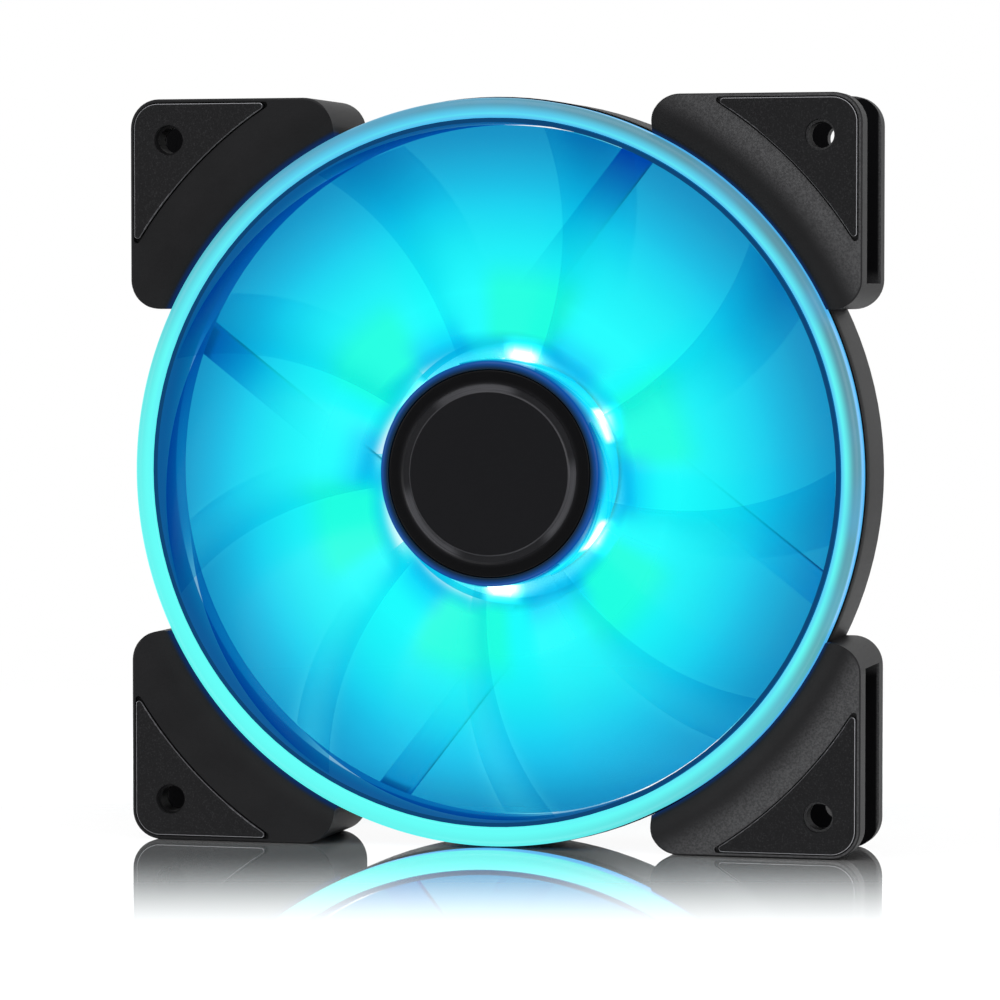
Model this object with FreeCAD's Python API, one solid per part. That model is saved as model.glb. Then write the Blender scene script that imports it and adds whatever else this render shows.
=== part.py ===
import FreeCAD, Part
import math
import os

# Case fan with a lit impeller: a square frame with a round duct, a halo ring round the intake,
# rubber corner pads, a translucent impeller with its motor inside the hub, and six LEDs.
# Millimetres. The fan's axis is Y, its intake faces -Y, +X is right and +Z is up, seen from the
# intake side. The origin is the middle of the fan, on the axis. Angles are in degrees from +X
# towards +Z, which is anticlockwise seen from the intake side.

Vector = FreeCAD.Vector
AXIS = Vector(0, 1, 0)
CENTRE = Vector(0, 0, 0)

# ---------------------------------------------------------------- driving dimensions
# frame
CORNERS = 4
WIDTH = 140.0               # overall width and height
DEPTH = 25.0                # overall depth, over the rubber pads
HOLE_INSET = 7.75           # screw hole centre from the frame's edge: 124.5 mm between holes
HOLE_D = 4.8                # screw hole in the moulding
BLOCK_SIDE = 39.5           # corner block, along each edge of the frame
CORNER_ROUND = 5.5          # outer corners of a block
EDGE_ROUND = 0.5            # front and rear edges of a block
FRONT_FLANGE = 5.2          # flange in front of the open slot
REAR_FLANGE = 4.3           # flange behind the open slot
END_WALL = 4.75             # full-depth wall at each end of the slot
LIP_WALL = 0.8              # thin lip of the duct that stands inside the halo ring
LIP_SETBACK = 0.3           # lip's edge behind the ring's front
LIP_GAP = 0.15              # lip to the ring's bore
REAR_WALL = 1.8             # duct wall at its rear edge, where the bore flares
FLARE_DEPTH = 8.6           # length of the flare
ROLL_BAND = 6.5             # width of the rolled edge beside the halo ring
ROLL_DROP = 2.4             # how far the rolled edge falls away from the front face
STRUT_WIDTH = 6.0
STRUT_DEPTH = 3.6
STRUT_ROUND = 1.4           # front edges of a strut, which face the airflow
STRUT_OFFSET = 18.5         # strut's midline from the fan's axis
STRUT_ANGLE = 52.0          # direction of the first strut
STRUTS = 4
BASE_FLOOR = 4.0            # motor base plate, front to rear
BASE_RIM_WALL = 1.2         # rim round the circuit board
BOARD_STAND = 0.8           # ledge that the circuit board rests on
BOARD_LEDGE = 1.6           # width of that ledge
CABLE_STRUT = 2             # the strut with the cable channel, counted from the first
CABLE_WIDTH = 3.4
CABLE_DEPTH = 1.8

# pads
PAD_PROUD = 0.4             # a pad stands out of the frame by this much
PAD_SEAT = 1.0              # depth of the recess that it sits in
PAD_INSET = 0.9             # pad's edge from the frame's edge
PAD_GROOVE = 0.25           # open groove round a pad
PAD_BAND = 11.0             # from the duct's outside to a pad's curved edge
PAD_HOLE_D = 5.7
PAD_TIP_ROUND = 0.6
PAD_EDGE_ROUND = 0.2

# halo ring
RING_SETBACK = 1.2          # front of the ring behind the pads' front
RING_DEPTH = 5.0
RING_WALL = 3.6
RING_GAP = 0.3              # gap between the ring and the corner blocks
RING_ROUND = 1.3            # outer front edge
RING_INNER_ROUND = 0.4      # inner front edge
RING_PEGS = 8
RING_PEG_D = 1.8
RING_PEG_LENGTH = 3.0

# impeller
BLADES = 9
HUB_R = 21.0
HUB_WALL = 1.6
HUB_SETBACK = 0.2           # hub's rim behind the pads' front
HUB_ROUND = 0.9
HUB_FLOOR = 1.4
CAP_THICK = 1.5
CAP_STEP_R = 16.0           # radius of the ring groove in the cap's face
CAP_STEP_WIDTH = 1.8
CAP_STEP_DEPTH = 0.4
TIP_GAP = 0.5               # blade tip to duct
BLADE_SETBACK = 1.6         # leading edge behind the hub's rim
BLADE_ROOT_LOWER = 0.9      # the leading edge starts this much lower at the hub
BLADE_REAR_RISE = 0.8       # the trailing edge lies this much further back at the tip
BLADE_SPAN_ROOT = 54.0      # angle that a blade covers at the hub
BLADE_SPAN_TIP = 52.0       # and at its tip
BLADE_SWEEP = 15.0          # the tip leads the root by this angle
BLADE_SWEEP_POWER = 1.6     # how late along the blade that lead builds up
BLADE_CAMBER = 0.35
BLADE_ROOT_THICK = 1.9
BLADE_TIP_THICK = 1.3
BLADE_EDGE_SHARE = 0.3      # thickness left at the leading and trailing edges
BLADE_GRID = (6, 9)         # points along and across a blade's face

# rotor
YOKE_WALL = 1.0
YOKE_SETBACK = 0.4          # open end of the yoke inside the hub's skirt
MAGNET_WALL = 1.5
MAGNET_SHORT = 0.6          # magnet's end inside the yoke's open end
SHAFT_R = 1.5
SHAFT_DOME = 0.3
BOSS_R = 3.2
BOSS_FLANGE_R = 4.4
BOSS_FLANGE = 0.8
BOSS_REACH = 1.5            # boss below the yoke's floor
CLIP_R = 2.6
CLIP_THICK = 0.4
CLIP_GROOVE = 0.4           # depth of the groove in the shaft
CLIP_GAP = 0.45             # clip to sleeve, and clip to thrust pad

# bearing and stator
TUBE_WALL = 1.0
SLEEVE_WALL = 1.65
SEAL_THICK = 1.2
THRUST_THICK = 0.8
PLUG_THICK = 1.2
CORE_STACK = 6.0
CORE_RING_WALL = 2.7
POLES = 4
ARM_WIDTH = 3.4
SHOE_WALL = 2.0
SHOE_SPAN = 74.0
AIR_GAP = 0.45              # pole shoe to magnet
INSULATION_FACE = 0.8
INSULATION_SIDE = 0.6
INSULATION_SPLIT = 0.1      # gap between the two insulator halves
COIL_BUILD = 1.7            # winding on each side of an arm
COIL_ROUND = 1.0            # outer corners of a winding
COIL_APART = 0.6            # between two windings, at the corners nearest the axis
COIL_ROOM = 1.0             # winding to yoke floor and to circuit board
STOP_SHORT = 0.8            # insulator's end wall lies this much inside the winding's face
PIN_R = 0.35
PIN_TAIL = 0.6              # pin's end behind the circuit board

# board
BOARD_THICK = 1.0
LEDS = 6
LED_ANGLE = 25.0
LED_RADIAL = 2.6
LED_WIDTH = 3.2
LED_HEIGHT = 1.5
LED_BAND = 3.2              # board beyond the hub's outside, for the LEDs
LED_INSET = 0.25            # LED from the board's edge
LED_TO_SKIRT = 0.5          # hub's skirt to the LEDs' top
CHIP_SIZE = (6.2, 1.5, 5.0)
CHIP_R = 12.0
CHIP_ANGLE = 225.0
HALL_SIZE = (3.0, 1.2, 4.0)
HALL_ANGLE = 45.0
SMALL_SIZE = (1.9, 0.7, 1.1)
SMALL_PARTS = 7
SMALL_FIRST_ANGLE = 80.0
SMALL_STEP_ANGLE = 34.0

# label
LABEL_R = 17.5
LABEL_THICK = 0.3
LABEL_SEAT = 0.4

# clearances
SEAT = 0.03                 # between pieces that are pressed or glued together
RUNNING = 0.05              # shaft to sleeve, on the radius
TURNING = 0.4               # between flat faces of turning and fixed pieces
PAST = 1.0                  # how far a cutting tool runs past the face that it cuts
TINY = 1e-6                 # two places closer than this are the same

# ---------------------------------------------------------------- places worked out from them
half = WIDTH / 2
y_front = -DEPTH / 2
y_rear = DEPTH / 2
frame_front = y_front + PAD_PROUD
frame_rear = y_rear - PAD_PROUD
hole_at = half - HOLE_INSET
block_from = half - BLOCK_SIDE
wall_joint_r = half - REAR_WALL / 2
pad_arc_r = half + PAD_BAND
slot_front = frame_front + FRONT_FLANGE
slot_rear = frame_rear - REAR_FLANGE

ring_front = y_front + RING_SETBACK
ring_rear = ring_front + RING_DEPTH
ring_r = half - RING_GAP
ring_bore_r = ring_r - RING_WALL
peg_at = (ring_bore_r + ring_r) / 2
lip_front = ring_front + LIP_SETBACK
lip_r = ring_bore_r - LIP_GAP
bore_r = lip_r - LIP_WALL

base_front = frame_rear - BASE_FLOOR
board_rear = base_front - BOARD_STAND
board_front = board_rear - BOARD_THICK
board_r = HUB_R + LED_BAND
base_rim_bore_r = board_r + SEAT
base_r = base_rim_bore_r + BASE_RIM_WALL
strut_front = frame_rear - STRUT_DEPTH
led_top = board_front - LED_HEIGHT

hub_front = y_front + HUB_SETBACK
hub_rear = led_top - LED_TO_SKIRT
hub_bore_r = HUB_R - HUB_WALL
cap_rear = hub_front + CAP_THICK
hub_floor_rear = cap_rear + HUB_FLOOR
blade_tip_r = bore_r - TIP_GAP
blade_front = hub_front + BLADE_SETBACK

yoke_r = hub_bore_r - SEAT
yoke_bore_r = yoke_r - YOKE_WALL
yoke_floor = hub_floor_rear + SEAT
yoke_inside = yoke_floor + YOKE_WALL
yoke_rear = hub_rear - YOKE_SETBACK
magnet_r = yoke_bore_r - SEAT
magnet_bore_r = magnet_r - MAGNET_WALL
boss_rear = yoke_inside + BOSS_REACH

sleeve_bore_r = SHAFT_R + RUNNING
sleeve_r = sleeve_bore_r + SLEEVE_WALL
tube_bore_r = sleeve_r + SEAT
tube_r = tube_bore_r + TUBE_WALL
tube_front = boss_rear + TURNING
label_front = frame_rear - LABEL_SEAT
plug_front = label_front - PLUG_THICK
thrust_front = plug_front - THRUST_THICK
clip_rear = thrust_front - CLIP_GAP
clip_front = clip_rear - CLIP_THICK
sleeve_rear = clip_front - CLIP_GAP
sleeve_front = tube_front + SEAL_THICK
shaft_rear = thrust_front - RUNNING

shoe_r = magnet_bore_r - AIR_GAP
shoe_bore_r = shoe_r - SHOE_WALL
core_bore_r = tube_r + SEAT
core_ring_r = core_bore_r + CORE_RING_WALL
core_middle = (yoke_inside + board_front) / 2
core_front = core_middle - CORE_STACK / 2
core_rear = core_middle + CORE_STACK / 2
coil_half = (board_front - yoke_inside) / 2 - COIL_ROOM
pin_at = core_ring_r - 2 * PIN_R

FRONT_PADS = {
    "front_pad_top_right": 0,
    "front_pad_top_left": 90,
    "front_pad_bottom_left": 180,
    "front_pad_bottom_right": 270,
}


# ---------------------------------------------------------------- shapes
def disc(radius, y0, y1):
    """A round disc or bar about the fan's axis, from y0 to y1."""
    return Part.makeCylinder(radius, y1 - y0, Vector(0, y0, 0), AXIS)


def tube(outer_r, inner_r, y0, y1):
    """A round tube about the fan's axis, from y0 to y1."""
    return disc(outer_r, y0, y1).cut(disc(inner_r, y0 - PAST, y1 + PAST))


def pin(radius, y0, y1, x, z):
    """A round bar along Y through the point x, z."""
    return Part.makeCylinder(radius, y1 - y0, Vector(x, y0, z), AXIS)


def box(x0, x1, y0, y1, z0, z1):
    """A box between two corners."""
    return Part.makeBox(x1 - x0, y1 - y0, z1 - z0, Vector(x0, y0, z0))


def spun(shape, angle):
    """A copy of a shape, turned about the fan's axis from +X towards +Z."""
    copy = shape.copy()
    copy.rotate(CENTRE, Vector(0, -1, 0), angle)
    return copy


def pattern(shape, count, first=0.0):
    """Copies of a shape, evenly spaced about the fan's axis."""
    return [spun(shape, first + 360.0 * i / count) for i in range(count)]


def group(shapes):
    """Separate solids that are kept together as one sub-part."""
    return Part.makeCompound(shapes)


def joined(shapes):
    """One solid made of several that overlap."""
    return shapes[0].multiFuse(shapes[1:]).removeSplitter()


def turned(edges):
    """A solid of revolution, from the edges of a closed outline in the X-Y half-plane."""
    return Part.Face(Part.Wire(edges)).revolve(CENTRE, AXIS, 360)


def line(start, end):
    """A straight edge between two (radius, y) points."""
    return Part.makeLine(Vector(*start, 0), Vector(*end, 0))


def arc(start, middle, end):
    """A circular edge through three (radius, y) points."""
    return Part.Arc(Vector(*start, 0), Vector(*middle, 0), Vector(*end, 0)).toShape()


def outline(points):
    """Straight edges that join (radius, y) points into a closed outline."""
    return [line(a, b) for a, b in zip(points, points[1:] + points[:1])]


def edges_on(shape, y):
    """The edges of a shape that lie in the plane at y."""
    return [e for e in shape.Edges if all(abs(v.Y - y) < TINY for v in e.Vertexes)]


def radial_edges(edges):
    """Those of some edges that run along X."""
    return [e for e in edges if abs(e.tangentAt(e.FirstParameter).x) > 1 - TINY]


def upright_edges(shape, x, z):
    """The edges of a shape that run along Y through the point x, z."""
    return [e for e in shape.Edges if all(math.hypot(v.X - x, v.Z - z) < TINY for v in e.Vertexes)]


# ---------------------------------------------------------------- frame
def rolled_edge():
    """Tool that rounds the blocks' front down towards the halo ring.

    The face falls away on an arc that starts level at the outer radius of the band."""
    arc_r = (ROLL_BAND ** 2 + ROLL_DROP ** 2) / (2 * ROLL_DROP)
    outer_r = half + ROLL_BAND
    centre_y = frame_front + arc_r
    tilt = math.asin(ROLL_BAND / arc_r) / 2
    middle = (outer_r - arc_r * math.sin(tilt), centre_y - arc_r * math.cos(tilt))
    low = (half, frame_front + ROLL_DROP)
    high = (outer_r, frame_front)
    return turned([
        arc(low, middle, high),
        line(high, (outer_r, frame_front - PAST)),
        line((outer_r, frame_front - PAST), (half - PAST, frame_front - PAST)),
        line((half - PAST, frame_front - PAST), (half - PAST, frame_front + ROLL_DROP)),
        line((half - PAST, frame_front + ROLL_DROP), low),
    ])


def pad_shape(y0, y1, grow, tip_round):
    """A corner pad's triangle with one curved side, at the top right corner.

    Its straight sides follow the frame's edges and its curved side follows the duct; grow
    moves every side outwards."""
    edge = half - PAD_INSET + grow
    triangle = box(hole_at - BLOCK_SIDE, edge, y0, y1, hole_at - BLOCK_SIDE, edge)
    triangle = triangle.makeFillet(CORNER_ROUND - PAD_INSET + grow, upright_edges(triangle, edge, edge))
    arc_r = pad_arc_r - grow
    triangle = triangle.cut(disc(arc_r, y0 - PAST, y1 + PAST))
    tip = math.sqrt(arc_r ** 2 - edge ** 2)
    tips = upright_edges(triangle, tip, edge) + upright_edges(triangle, edge, tip)
    return triangle.makeFillet(tip_round, tips)


def corner_block():
    """The top right corner block: two flanges with an open slot between them."""
    block = box(block_from, half, frame_front, frame_rear, block_from, half)
    corners = []
    for x, z in ((half, half), (block_from, half), (half, block_from)):
        corners += upright_edges(block, x, z)
    block = block.makeFillet(CORNER_ROUND, corners)
    block = block.makeFillet(EDGE_ROUND, edges_on(block, frame_front) + edges_on(block, frame_rear))
    slot_from = block_from + END_WALL
    slot = box(slot_from, half + PAST, slot_front, slot_rear, slot_from, half + PAST)
    block = block.cut(slot.cut(disc(half, slot_front - PAST, slot_rear + PAST)))
    block = block.cut(pin(HOLE_D / 2, y_front, y_rear, hole_at, hole_at))
    block = block.cut(pad_shape(frame_front - PAST, frame_front + PAD_SEAT, PAD_GROOVE, PAD_TIP_ROUND))
    block = block.cut(pad_shape(frame_rear - PAD_SEAT, frame_rear + PAST, PAD_GROOVE, PAD_TIP_ROUND))
    block = block.cut(rolled_edge())
    return block.cut(disc(wall_joint_r, y_front, y_rear))


def duct():
    """The round wall behind the halo ring, with a thin lip that stands inside the ring.

    Its bore is straight at the blades and flares at the rear."""
    flare_front = frame_rear - FLARE_DEPTH
    rear_bore_r = half - REAR_WALL
    rise = rear_bore_r - bore_r
    flare_r = (FLARE_DEPTH ** 2 + rise ** 2) / (2 * rise)
    tilt = math.asin(FLARE_DEPTH / flare_r) / 2
    middle = (bore_r + flare_r * (1 - math.cos(tilt)), flare_front + flare_r * math.sin(tilt))
    return turned([
        line((bore_r, flare_front), (bore_r, lip_front)),
        line((bore_r, lip_front), (lip_r, lip_front)),
        line((lip_r, lip_front), (lip_r, ring_rear)),
        line((lip_r, ring_rear), (half, ring_rear)),
        line((half, ring_rear), (half, frame_rear)),
        line((half, frame_rear), (rear_bore_r, frame_rear)),
        arc((rear_bore_r, frame_rear), middle, (bore_r, flare_front)),
    ])


def strut():
    """One straight strut, beside the axis, from the motor base to the duct wall."""
    low = STRUT_OFFSET - STRUT_WIDTH / 2
    high = STRUT_OFFSET + STRUT_WIDTH / 2
    bar = box(0, half, strut_front, frame_rear, low, high)
    bar = bar.makeFillet(STRUT_ROUND, radial_edges(edges_on(bar, strut_front)))
    return bar.common(disc(wall_joint_r, y_front, y_rear))


def motor_base():
    """The round plate that carries the stator, with a rim and two ledges for the circuit board."""
    ledge_r = hub_bore_r
    return joined([
        disc(base_r, base_front, frame_rear),
        tube(base_r, base_rim_bore_r, board_front, base_front + PAST),
        tube(ledge_r, ledge_r - BOARD_LEDGE, board_rear, base_front + PAST),
        tube(tube_r + SEAT + BOARD_LEDGE, tube_r + SEAT, board_rear, base_front + PAST),
    ])


def cable_way():
    """Tools that open the way for a cable: a window in the motor base and a channel in one strut."""
    low = STRUT_OFFSET - CABLE_WIDTH / 2
    high = STRUT_OFFSET + CABLE_WIDTH / 2
    channel = box(0, bore_r, frame_rear - CABLE_DEPTH, frame_rear + PAST, low, high)
    window = box(0, 2 * CABLE_WIDTH, base_front - BOARD_STAND, frame_rear, low, high)
    angle = STRUT_ANGLE + CABLE_STRUT * 360.0 / STRUTS
    return [spun(channel, angle), spun(window, angle)]


def frame():
    """The moulding: four corner blocks, the duct, the struts and the motor base."""
    round_parts = [duct(), motor_base()]
    body = joined(pattern(corner_block(), CORNERS) + round_parts + pattern(strut(), STRUTS, STRUT_ANGLE))
    body = body.cut(tube(half, lip_r, y_front, ring_rear))
    peg_hole = pin(RING_PEG_D / 2 + SEAT, ring_rear - PAST, ring_rear + RING_PEG_LENGTH + SEAT, peg_at, 0)
    tools = pattern(peg_hole, RING_PEGS, 180.0 / RING_PEGS) + cable_way()
    tools.append(disc(tube_r + SEAT, base_front - PAST - BOARD_STAND, plug_front))
    tools.append(disc(tube_bore_r + SEAT, plug_front - PAST, label_front + SEAT))
    tools.append(disc(LABEL_R + SEAT, label_front, frame_rear + PAST))
    for tool in tools:
        body = body.cut(tool)
    return body


def halo_ring():
    """The diffuser ring, with a rounded front and pegs that go into the duct's front edge."""
    ring = tube(ring_r, ring_bore_r, ring_front, ring_rear)
    outer = [e for e in edges_on(ring, ring_front) if abs(e.Curve.Radius - ring_r) < TINY]
    inner = [e for e in edges_on(ring, ring_front) if abs(e.Curve.Radius - ring_bore_r) < TINY]
    ring = ring.makeFillet(RING_ROUND, outer)
    ring = ring.makeFillet(RING_INNER_ROUND, inner)
    peg = pin(RING_PEG_D / 2, ring_rear - PAST, ring_rear + RING_PEG_LENGTH, peg_at, 0)
    return joined([ring] + pattern(peg, RING_PEGS, 180.0 / RING_PEGS))


def corner_pad(rear):
    """A rubber pad for the top right corner, at the front or at the rear."""
    if rear:
        pad = pad_shape(frame_rear - PAD_SEAT, y_rear, 0, PAD_TIP_ROUND)
        face = y_rear
    else:
        pad = pad_shape(y_front, frame_front + PAD_SEAT, 0, PAD_TIP_ROUND)
        face = y_front
    pad = pad.makeFillet(PAD_EDGE_ROUND, edges_on(pad, face))
    return pad.cut(pin(PAD_HOLE_D / 2, y_front - PAST, y_rear + PAST, hole_at, hole_at))


# ---------------------------------------------------------------- rotor
def blade_point(along, across, side):
    """A point on a blade: along goes from hub to tip, across from leading to trailing edge.

    The blade is a cambered sheet wrapped about the axis. Side is -1 or 1 for its two faces,
    which stand half the local thickness off the sheet, square to it."""
    root_r = HUB_R - HUB_WALL / 2
    radius = root_r + (blade_tip_r - root_r) * along
    span = math.radians(BLADE_SPAN_ROOT + (BLADE_SPAN_TIP - BLADE_SPAN_ROOT) * along)
    lead = math.radians(BLADE_SWEEP) * along ** BLADE_SWEEP_POWER
    front = blade_front + BLADE_ROOT_LOWER * (1 - along) ** 2
    rear = hub_rear - BLADE_REAR_RISE * (1 - 2 * along)
    bend = BLADE_CAMBER / math.pi
    angle = lead + span * (0.5 - across)
    y = front + (rear - front) * (across - bend * math.sin(math.pi * across))
    run = -span * radius
    rise = (rear - front) * (1 - BLADE_CAMBER * math.cos(math.pi * across))
    slope = math.hypot(run, rise)
    full = BLADE_ROOT_THICK + (BLADE_TIP_THICK - BLADE_ROOT_THICK) * along
    thick = full * (1 - (1 - BLADE_EDGE_SHARE) * abs(2 * across - 1) ** 3)
    angle += side * thick / 2 * rise / slope / radius
    y -= side * thick / 2 * run / slope
    return Vector(radius * math.cos(angle), y, radius * math.sin(angle))


def blade():
    """One blade: two smooth faces through a grid of points, closed by four narrow edges."""
    along_steps, across_steps = BLADE_GRID
    faces = []
    for side in (-1, 1):
        grid = [[blade_point(i / (along_steps - 1), j / (across_steps - 1), side)
                 for j in range(across_steps)] for i in range(along_steps)]
        surface = Part.BSplineSurface()
        surface.interpolate(grid)
        faces.append(surface.toShape())
    for a, b in zip(faces[0].OuterWire.OrderedEdges, matching_edges(faces[0], faces[1])):
        faces.append(Part.makeRuledSurface(a, b))
    shell = Part.makeShell(faces)
    shell.sewShape()
    solid = Part.makeSolid(shell)
    if solid.Volume < 0:
        solid.reverse()
    return solid


def matching_edges(face, other):
    """For each edge of a face, the edge of the other face whose middle is nearest."""
    def middle(edge):
        return edge.valueAt((edge.FirstParameter + edge.LastParameter) / 2)

    return [min(other.OuterWire.OrderedEdges, key=lambda e: (middle(e) - middle(edge)).Length)
            for edge in face.OuterWire.OrderedEdges]


def impeller():
    """The hub, open at the rear, with its ring of blades."""
    hub = disc(HUB_R, hub_front, hub_rear)
    hub = hub.makeFillet(HUB_ROUND, edges_on(hub, hub_front))
    whole = hub.multiFuse(pattern(blade(), BLADES))
    whole = whole.cut(disc(hub_bore_r, hub_floor_rear, hub_rear + DEPTH))
    return whole.cut(disc(hub_bore_r, hub_front - PAST, cap_rear))


def hub_cap():
    """The black disc in the hub's front, with a shallow ring groove in its face."""
    cap = disc(hub_bore_r - SEAT, hub_front, cap_rear)
    cap = cap.makeFillet(EDGE_ROUND, edges_on(cap, hub_front))
    inner_r = CAP_STEP_R - CAP_STEP_WIDTH / 2
    outer_r = CAP_STEP_R + CAP_STEP_WIDTH / 2
    groove = turned(outline([
        (inner_r, hub_front),
        (CAP_STEP_R, hub_front + CAP_STEP_DEPTH),
        (outer_r, hub_front),
        (outer_r, hub_front - PAST),
        (inner_r, hub_front - PAST),
    ]))
    return cap.cut(groove)


def rotor_yoke():
    """The pressed steel cup in the hub, with a hole for the shaft's boss."""
    cup = disc(yoke_r, yoke_floor, yoke_rear)
    cup = cup.makeFillet(YOKE_WALL, edges_on(cup, yoke_floor))
    cup = cup.cut(disc(yoke_bore_r, yoke_inside, yoke_rear + PAST))
    return cup.cut(disc(BOSS_R + SEAT, yoke_floor - PAST, yoke_inside + PAST))


def ring_magnet():
    """The ring magnet inside the yoke."""
    return tube(magnet_r, magnet_bore_r, yoke_inside + SEAT, yoke_rear - MAGNET_SHORT)


def shaft_boss():
    """The brass bush that holds the shaft in the yoke, with a flange under the yoke's floor."""
    bush = disc(BOSS_R, yoke_floor, boss_rear)
    flange = disc(BOSS_FLANGE_R, yoke_inside + SEAT, yoke_inside + SEAT + BOSS_FLANGE)
    return joined([bush, flange]).cut(disc(SHAFT_R + SEAT, yoke_floor - PAST, boss_rear + PAST))


def shaft():
    """The steel shaft: a domed end on the thrust pad and a groove for the clip."""
    bar = disc(SHAFT_R, yoke_floor, shaft_rear)
    bar = bar.makeFillet(SHAFT_DOME, edges_on(bar, shaft_rear))
    return bar.cut(tube(SHAFT_R + PAST, SHAFT_R - CLIP_GROOVE, clip_front - SEAT, clip_rear + SEAT))


def retaining_clip():
    """The split ring that keeps the shaft in its sleeve."""
    inner_r = SHAFT_R - CLIP_GROOVE + SEAT
    clip = tube(CLIP_R, inner_r, clip_front, clip_rear)
    gap = box(0, CLIP_R + PAST, clip_front - PAST, clip_rear + PAST, -inner_r / 2, inner_r / 2)
    return clip.cut(gap)


# ---------------------------------------------------------------- bearing and stator
def bearing_tube():
    """The brass tube that stands in the motor base and carries the stator."""
    return tube(tube_r, tube_bore_r, tube_front, plug_front - SEAT)


def oil_seal():
    """The ring that keeps oil in the front end of the bearing tube."""
    return tube(sleeve_r, SHAFT_R + TURNING, tube_front, sleeve_front - SEAT)


def bearing_plug():
    """The plug that closes the bearing tube, under the label."""
    return disc(tube_bore_r, plug_front + SEAT, label_front)


def pole_core(arm_width, y0, y1, ring_r, reach_r):
    """Ring and arms of the stator, of a given arm width, from y0 to y1."""
    arm = box(0, reach_r, y0, y1, -arm_width / 2, arm_width / 2)
    return joined([disc(ring_r, y0, y1)] + pattern(arm, POLES)).cut(disc(core_bore_r, y0 - PAST, y1 + PAST))


def sector(outer_r, inner_r, y0, y1, angle):
    """A stretch of ring about the direction +X, of a given angle."""
    reach = 2 * outer_r
    lean = math.radians(angle / 2)
    corner = Vector(reach * math.cos(lean), y0, reach * math.sin(lean))
    wedge = Part.Face(Part.makePolygon([
        Vector(0, y0, 0),
        corner,
        Vector(corner.x, y0, -corner.z),
        Vector(0, y0, 0),
    ])).extrude(Vector(0, y1 - y0, 0))
    return tube(outer_r, inner_r, y0, y1).common(wedge)


def stator_core():
    """The stack of laminations: a ring, four arms and their pole shoes."""
    core = pole_core(ARM_WIDTH, core_front, core_rear, core_ring_r, shoe_bore_r + SHOE_WALL / 2)
    shoe = sector(shoe_r, shoe_bore_r, core_front, core_rear, SHOE_SPAN)
    return joined([core] + pattern(shoe, POLES))


def insulator(rear):
    """One half of the coil former: it covers the core's arms from one face, down to the middle."""
    wide = ARM_WIDTH + 2 * INSULATION_SIDE
    reach_r = shoe_bore_r - SEAT
    ring_r = core_ring_r + INSULATION_SIDE
    if rear:
        inner, outer = core_middle + INSULATION_SPLIT / 2, core_rear + INSULATION_FACE
        wall = (core_rear, core_middle + coil_half - STOP_SHORT)
    else:
        inner, outer = core_front - INSULATION_FACE, core_middle - INSULATION_SPLIT / 2
        wall = (core_middle - coil_half + STOP_SHORT, core_front)
    cover = pole_core(wide, inner, outer, ring_r, reach_r)
    stop = sector(reach_r, reach_r - INSULATION_SIDE, wall[0], wall[1], SHOE_SPAN / 2)
    cover = joined([cover] + [s.cut(disc(core_bore_r, y_front, y_rear)) for s in pattern(stop, POLES)])
    core = pole_core(ARM_WIDTH + 2 * SEAT, core_front - SEAT, core_rear + SEAT, core_ring_r + SEAT, half)
    cover = cover.cut(core).common(disc(reach_r, y_front, y_rear))
    if rear:
        pin_hole = pin(PIN_R + SEAT, core_rear, y_rear, pin_at, 0)
        cover = cover.cut(group(pattern(pin_hole, POLES, 180.0 / POLES)))
    return cover


def coil_windings():
    """Four coils of copper wire, each wound round one covered arm."""
    inner_half = ARM_WIDTH / 2 + INSULATION_SIDE + SEAT
    outer_half = inner_half + COIL_BUILD
    face_half = CORE_STACK / 2 + INSULATION_FACE + SEAT
    from_r = max(core_ring_r + INSULATION_SIDE + SEAT, outer_half + COIL_APART)
    to_r = math.sqrt((shoe_bore_r - INSULATION_SIDE - 2 * SEAT) ** 2 - outer_half ** 2)
    coil = box(from_r, to_r, core_middle - coil_half, core_middle + coil_half, -outer_half, outer_half)
    coil = coil.makeFillet(COIL_ROUND, radial_edges(coil.Edges))
    low, high = core_middle - face_half, core_middle + face_half
    coil = coil.cut(box(from_r - PAST, to_r + PAST, low, high, -inner_half, inner_half))
    return group(pattern(coil, POLES))


def terminal_pins():
    """The wire ends' pins, from the rear insulator through the circuit board."""
    one = pin(PIN_R, core_rear + SEAT, board_rear + PIN_TAIL, pin_at, 0)
    return group(pattern(one, POLES, 180.0 / POLES))


# ---------------------------------------------------------------- board
def circuit_board():
    """The round board in the motor base, with holes for the bearing tube and the pins."""
    board = tube(board_r, tube_r + SEAT, board_front, board_rear)
    pin_hole = pin(PIN_R + SEAT, board_front - PAST, board_rear + PAST, pin_at, 0)
    return board.cut(group(pattern(pin_hole, POLES, 180.0 / POLES)))


def on_board(size, radius, angle):
    """A rectangular component on the board's front: size is along the radius, in height and across."""
    radial, height, across = size
    body = box(radius - radial / 2, radius + radial / 2, board_front - height, board_front,
               -across / 2, across / 2)
    return spun(body, angle)


def leds():
    """Six LEDs at the board's edge, just outside the hub's skirt."""
    radius = board_r - LED_INSET - LED_RADIAL / 2
    body = on_board((LED_RADIAL, LED_HEIGHT, LED_WIDTH), radius, 0)
    return group(pattern(body, LEDS, LED_ANGLE))


def board_components():
    """Small resistors and capacitors in a ring under the magnet."""
    radius = (magnet_r + magnet_bore_r) / 2
    angles = [SMALL_FIRST_ANGLE + SMALL_STEP_ANGLE * i for i in range(SMALL_PARTS)]
    return group([on_board(SMALL_SIZE, radius, angle) for angle in angles])


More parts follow.
